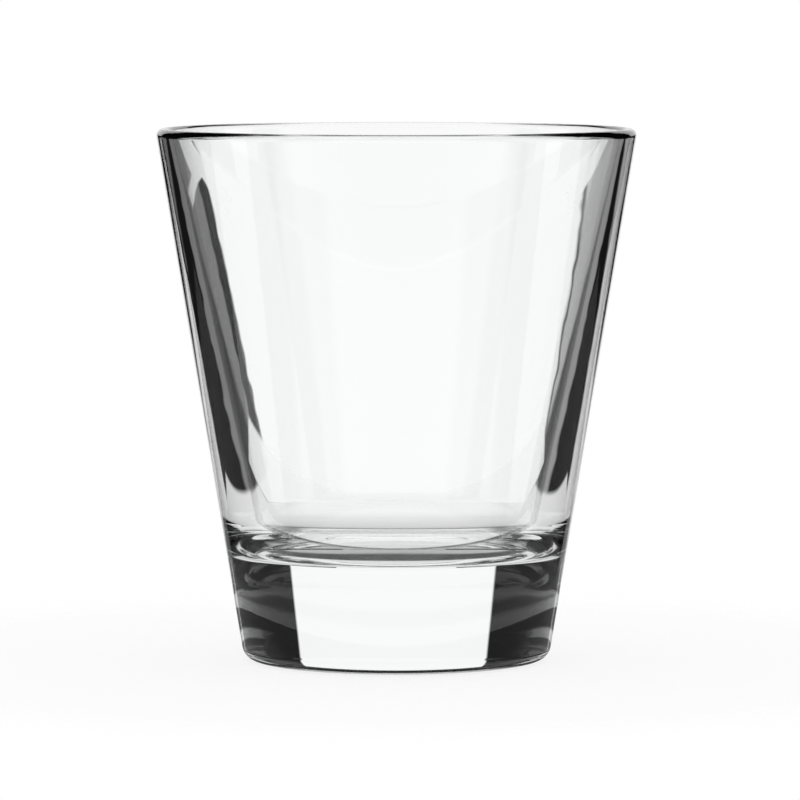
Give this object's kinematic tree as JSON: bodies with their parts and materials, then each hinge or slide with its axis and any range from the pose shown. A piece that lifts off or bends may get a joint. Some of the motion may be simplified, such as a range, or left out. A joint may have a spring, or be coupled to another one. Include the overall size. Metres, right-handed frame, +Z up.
{
  "type": "rocks glass",
  "caption": "Conical clear drinking tumbler with a rounded rim, straight tapered wall and heavy solid base, standing on a flat ring.",
  "frame": {"origin": "centre of the standing ring, on the surface that the glass stands on", "axes": "+Z up along the axis of the glass, from the base to the mouth"},
  "size_m": [0.086, 0.086, 0.0955],
  "materials": {
    "clear_glass": "clear, fire polished"
  },
  "bodies": {
    "root": {"tumbler": "clear_glass"}
  },
  "joints": []
}
